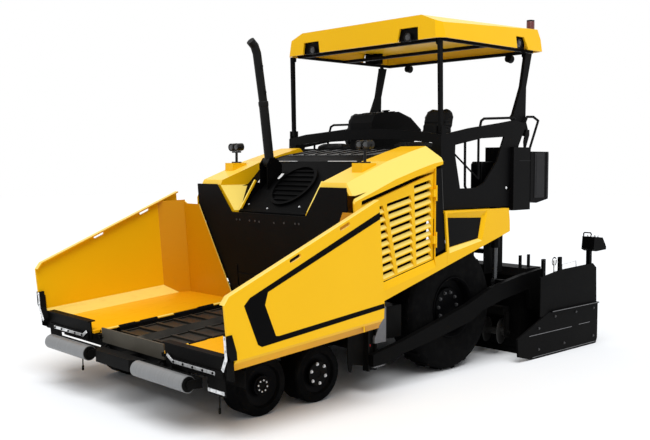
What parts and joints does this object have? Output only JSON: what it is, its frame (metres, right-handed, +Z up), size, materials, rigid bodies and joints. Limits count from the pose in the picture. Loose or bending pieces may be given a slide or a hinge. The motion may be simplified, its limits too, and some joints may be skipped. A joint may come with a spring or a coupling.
{
  "type": "wheeled asphalt paver",
  "caption": "Wheeled asphalt paver with folding hopper wings, push rollers, louvred engine bay, roofed operator's stand and extending screed",
  "frame": {"origin": "on the ground, under the middle of the machine's length and width", "axes": "+X forward, towards the hopper; +Y to the machine's left; +Z up"},
  "size_m": [5.9499, 3.26, 3.896],
  "materials": {
    "chassis_black": "satin black paint",
    "body_yellow": "gloss yellow paint",
    "stand_black": "fine textured black paint",
    "bare_steel": "worn steel",
    "roller_steel": "bright rolled steel",
    "tyre_black": "matt rubber",
    "front_tyre": "solid tyre bonded to its steel disc",
    "rim_grey": "satin grey-black paint",
    "cast_black": "painted casting",
    "seat_vinyl": "black seat cloth",
    "console_plastic": "matt moulded plastic",
    "lamp_glass": "lamp housings",
    "exhaust_paint": "heat-proof black paint",
    "rod_chrome": "chromed rod"
  },
  "bodies": {
    "tractor": {"main_frame": "chassis_black", "conveyor": "bare_steel", "hopper_bulkhead": "chassis_black", "axle_beams": "cast_black", "engine_block": "cast_black", "side_tanks": "chassis_black", "engine_hood": "chassis_black", "side_shell_left": "body_yellow", "side_shell_right": "body_yellow", "rear_fender_left": "body_yellow", "rear_fender_right": "body_yellow", "operator_platform": "stand_black", "console": "console_plastic", "seat_frames": "stand_black", "seat_pads": "seat_vinyl", "handrails": "stand_black", "work_lamps": "lamp_glass", "auger_beam": "chassis_black", "lashing_eyes": "chassis_black"},
    "wing_left": {"hopper_wing_left": "body_yellow", "apron_left": "chassis_black"},
    "wing_cylinder_left": {"wing_cylinder_left": "chassis_black"},
    "wing_rod_left": {"wing_rod_left": "rod_chrome"},
    "wing_right": {"hopper_wing_right": "body_yellow", "apron_right": "chassis_black"},
    "wing_cylinder_right": {"wing_cylinder_right": "chassis_black"},
    "wing_rod_right": {"wing_rod_right": "rod_chrome"},
    "push_beam": {"push_beam": "chassis_black"},
    "push_roller_left": {"push_roller_left": "roller_steel"},
    "push_roller_right": {"push_roller_right": "roller_steel"},
    "knuckle_1_left": {"knuckle_1_left": "cast_black"},
    "front_wheel_1_left": {"front_wheel_1_left": "front_tyre"},
    "knuckle_1_right": {"knuckle_1_right": "cast_black"},
    "front_wheel_1_right": {"front_wheel_1_right": "front_tyre"},
    "knuckle_2_left": {"knuckle_2_left": "cast_black"},
    "front_wheel_2_left": {"front_wheel_2_left": "front_tyre"},
    "knuckle_2_right": {"knuckle_2_right": "cast_black"},
    "front_wheel_2_right": {"front_wheel_2_right": "front_tyre"},
    "rear_wheel_left": {"rear_tyre_left": "tyre_black", "rear_rim_left": "rim_grey"},
    "rear_wheel_right": {"rear_tyre_right": "tyre_black", "rear_rim_right": "rim_grey"},
    "grille_door_left": {"grille_door_left": "body_yellow"},
    "grille_door_right": {"grille_door_right": "body_yellow"},
    "screed": {"tow_arms": "chassis_black", "screed_body": "chassis_black", "screed_walkway": "chassis_black"},
    "lift_barrels": {"lift_barrels": "chassis_black"},
    "lift_rods": {"lift_rods": "rod_chrome"},
    "extension_left": {"screed_extension_left": "chassis_black", "end_plate_left": "chassis_black"},
    "auger_left": {"auger_left": "bare_steel"},
    "extension_right": {"screed_extension_right": "chassis_black", "end_plate_right": "chassis_black"},
    "auger_right": {"auger_right": "bare_steel"},
    "rear_posts": {"rear_posts": "stand_black"},
    "front_posts": {"front_posts": "stand_black"},
    "roof": {"roof_shell": "body_yellow", "roof_frame": "stand_black"},
    "exhaust": {"exhaust_stack": "exhaust_paint"}
  },
  "joints": [
    {"name": "wing_fold_left", "type": "hinge", "parent": "tractor", "child": "wing_left", "pos_m": [1.09939, 0.6, 0.70102], "axis": [0.9971, 0, -0.0767], "range_deg": [0, 50]},
    {"name": "wing_cylinder_turn_left", "type": "hinge", "parent": "tractor", "child": "wing_cylinder_left", "pos_m": [2.50676, 0.64, 0.38], "axis": [1, 0, 0], "range_deg": [-1, 60]},
    {"name": "wing_cylinder_stroke_left", "type": "slide", "parent": "wing_cylinder_left", "child": "wing_rod_left", "axis": [0, 0.957, 0.29], "range_m": [-0.01, 0.183]},
    {"name": "wing_fold_right", "type": "hinge", "parent": "tractor", "child": "wing_right", "pos_m": [1.09939, -0.6, 0.70102], "axis": [-0.9971, 0, 0.0767], "range_deg": [0, 50]},
    {"name": "wing_cylinder_turn_right", "type": "hinge", "parent": "tractor", "child": "wing_cylinder_right", "pos_m": [2.50676, -0.64, 0.38], "axis": [-1, 0, 0], "range_deg": [-1, 60]},
    {"name": "wing_cylinder_stroke_right", "type": "slide", "parent": "wing_cylinder_right", "child": "wing_rod_right", "axis": [0, -0.957, 0.29], "range_m": [-0.01, 0.183]},
    {"name": "push_beam_swing", "type": "hinge", "parent": "tractor", "child": "push_beam", "pos_m": [2.716, 0, 0.424], "axis": [0, 0, 1], "range_deg": [-3, 3]},
    {"name": "push_roller_spin_left", "type": "hinge", "parent": "push_beam", "child": "push_roller_left", "pos_m": [2.905, 0, 0.424], "axis": [0, 1, 0], "continuous": true},
    {"name": "push_roller_spin_right", "type": "hinge", "parent": "push_beam", "child": "push_roller_right", "pos_m": [2.905, 0, 0.424], "axis": [0, 1, 0], "continuous": true},
    {"name": "steer_1_left", "type": "hinge", "parent": "tractor", "child": "knuckle_1_left", "pos_m": [2.115, 0.862, 0.27], "axis": [0, 0, 1], "range_deg": [-18, 18]},
    {"name": "front_wheel_spin_1_left", "type": "hinge", "parent": "knuckle_1_left", "child": "front_wheel_1_left", "pos_m": [2.115, 0, 0.27], "axis": [0, 1, 0], "continuous": true},
    {"name": "steer_1_right", "type": "hinge", "parent": "tractor", "child": "knuckle_1_right", "pos_m": [2.115, -0.862, 0.27], "axis": [0, 0, 1], "range_deg": [-18.5, 18.5]},
    {"name": "front_wheel_spin_1_right", "type": "hinge", "parent": "knuckle_1_right", "child": "front_wheel_1_right", "pos_m": [2.115, 0, 0.27], "axis": [0, 1, 0], "continuous": true},
    {"name": "steer_2_left", "type": "hinge", "parent": "tractor", "child": "knuckle_2_left", "pos_m": [1.455, 0.862, 0.27], "axis": [0, 0, 1], "range_deg": [-13.1, 13.1]},
    {"name": "front_wheel_spin_2_left", "type": "hinge", "parent": "knuckle_2_left", "child": "front_wheel_2_left", "pos_m": [1.455, 0, 0.27], "axis": [0, 1, 0], "continuous": true},
    {"name": "steer_2_right", "type": "hinge", "parent": "tractor", "child": "knuckle_2_right", "pos_m": [1.455, -0.862, 0.27], "axis": [0, 0, 1], "range_deg": [-13.1, 13.1]},
    {"name": "front_wheel_spin_2_right", "type": "hinge", "parent": "knuckle_2_right", "child": "front_wheel_2_right", "pos_m": [1.455, 0, 0.27], "axis": [0, 1, 0], "continuous": true},
    {"name": "rear_wheel_spin_left", "type": "hinge", "parent": "tractor", "child": "rear_wheel_left", "pos_m": [-0.455, 0, 0.68], "axis": [0, 1, 0], "continuous": true},
    {"name": "rear_wheel_spin_right", "type": "hinge", "parent": "tractor", "child": "rear_wheel_right", "pos_m": [-0.455, 0, 0.68], "axis": [0, 1, 0], "continuous": true},
    {"name": "grille_door_hinge_left", "type": "hinge", "parent": "tractor", "child": "grille_door_left", "pos_m": [-0.102, 1.278, 1.6], "axis": [0, 0, 1], "range_deg": [0, 100]},
    {"name": "grille_door_hinge_right", "type": "hinge", "parent": "tractor", "child": "grille_door_right", "pos_m": [-0.102, -1.278, 1.6], "axis": [0, 0, -1], "range_deg": [0, 100]},
    {"name": "screed_lift", "type": "hinge", "parent": "tractor", "child": "screed", "pos_m": [0.826, 0, 0.32], "axis": [0, 1, 0], "range_deg": [0, 9]},
    {"name": "lift_cylinder_turn", "type": "hinge", "parent": "tractor", "child": "lift_barrels", "pos_m": [-1.275, 0, 1.65], "axis": [0, -1, 0], "range_deg": [-5, 25]},
    {"name": "lift_cylinder_stroke", "type": "slide", "parent": "lift_barrels", "child": "lift_rods", "axis": [0, 0, 1], "range_m": [-0.01, 0.329]},
    {"name": "extension_slide_left", "type": "slide", "parent": "screed", "child": "extension_left", "axis": [0, 1, 0], "range_m": [-0.15, 0.9]},
    {"name": "auger_spin_left", "type": "hinge", "parent": "tractor", "child": "auger_left", "pos_m": [-1.478, 0, 0.27], "axis": [0, 1, 0], "continuous": true},
    {"name": "extension_slide_right", "type": "slide", "parent": "screed", "child": "extension_right", "axis": [0, -1, 0], "range_m": [-0.15, 0.9]},
    {"name": "auger_spin_right", "type": "hinge", "parent": "tractor", "child": "auger_right", "pos_m": [-1.478, 0, 0.27], "axis": [0, 1, 0], "continuous": true},
    {"name": "roof_fold", "type": "hinge", "parent": "tractor", "child": "rear_posts", "pos_m": [-1.86, 0, 2.55], "axis": [0, -1, 0], "range_deg": [0, 65]},
    {"name": "roof_level", "type": "hinge", "parent": "rear_posts", "child": "roof", "pos_m": [-1.84, 0, 3.45], "axis": [0, -1, 0], "range_deg": [-66, 1]},
    {"name": "front_post_fold", "type": "hinge", "parent": "tractor", "child": "front_posts", "pos_m": [-0.305, 0, 2.56], "axis": [0, -1, 0], "range_deg": [-1, 66]},
    {"name": "exhaust_fold", "type": "hinge", "parent": "tractor", "child": "exhaust", "pos_m": [0.68, -0.445, 2.215], "axis": [0, -1, 0], "range_deg": [-1, 55]}
  ],
  "couplings": [
    {"joint": "wing_cylinder_turn_left", "follows": "wing_fold_left", "ratio": 0.84366},
    {"joint": "wing_cylinder_stroke_left", "follows": "wing_fold_left", "m_per_rad": 0.18647},
    {"joint": "wing_cylinder_turn_right", "follows": "wing_fold_right", "ratio": 0.84366},
    {"joint": "wing_cylinder_stroke_right", "follows": "wing_fold_right", "m_per_rad": 0.18647},
    {"joint": "steer_1_right", "follows": "steer_1_left", "ratio": 1},
    {"joint": "steer_2_left", "follows": "steer_1_left", "ratio": 0.7},
    {"joint": "steer_2_right", "follows": "steer_1_left", "ratio": 0.7},
    {"joint": "lift_cylinder_turn", "follows": "screed_lift", "ratio": 1.5149},
    {"joint": "lift_cylinder_stroke", "follows": "screed_lift", "m_per_rad": 1.9645},
    {"joint": "roof_level", "follows": "roof_fold", "ratio": -1},
    {"joint": "front_post_fold", "follows": "roof_fold", "ratio": 1},
    {"joint": "exhaust_fold", "follows": "roof_fold", "ratio": 0.8}
  ]
}
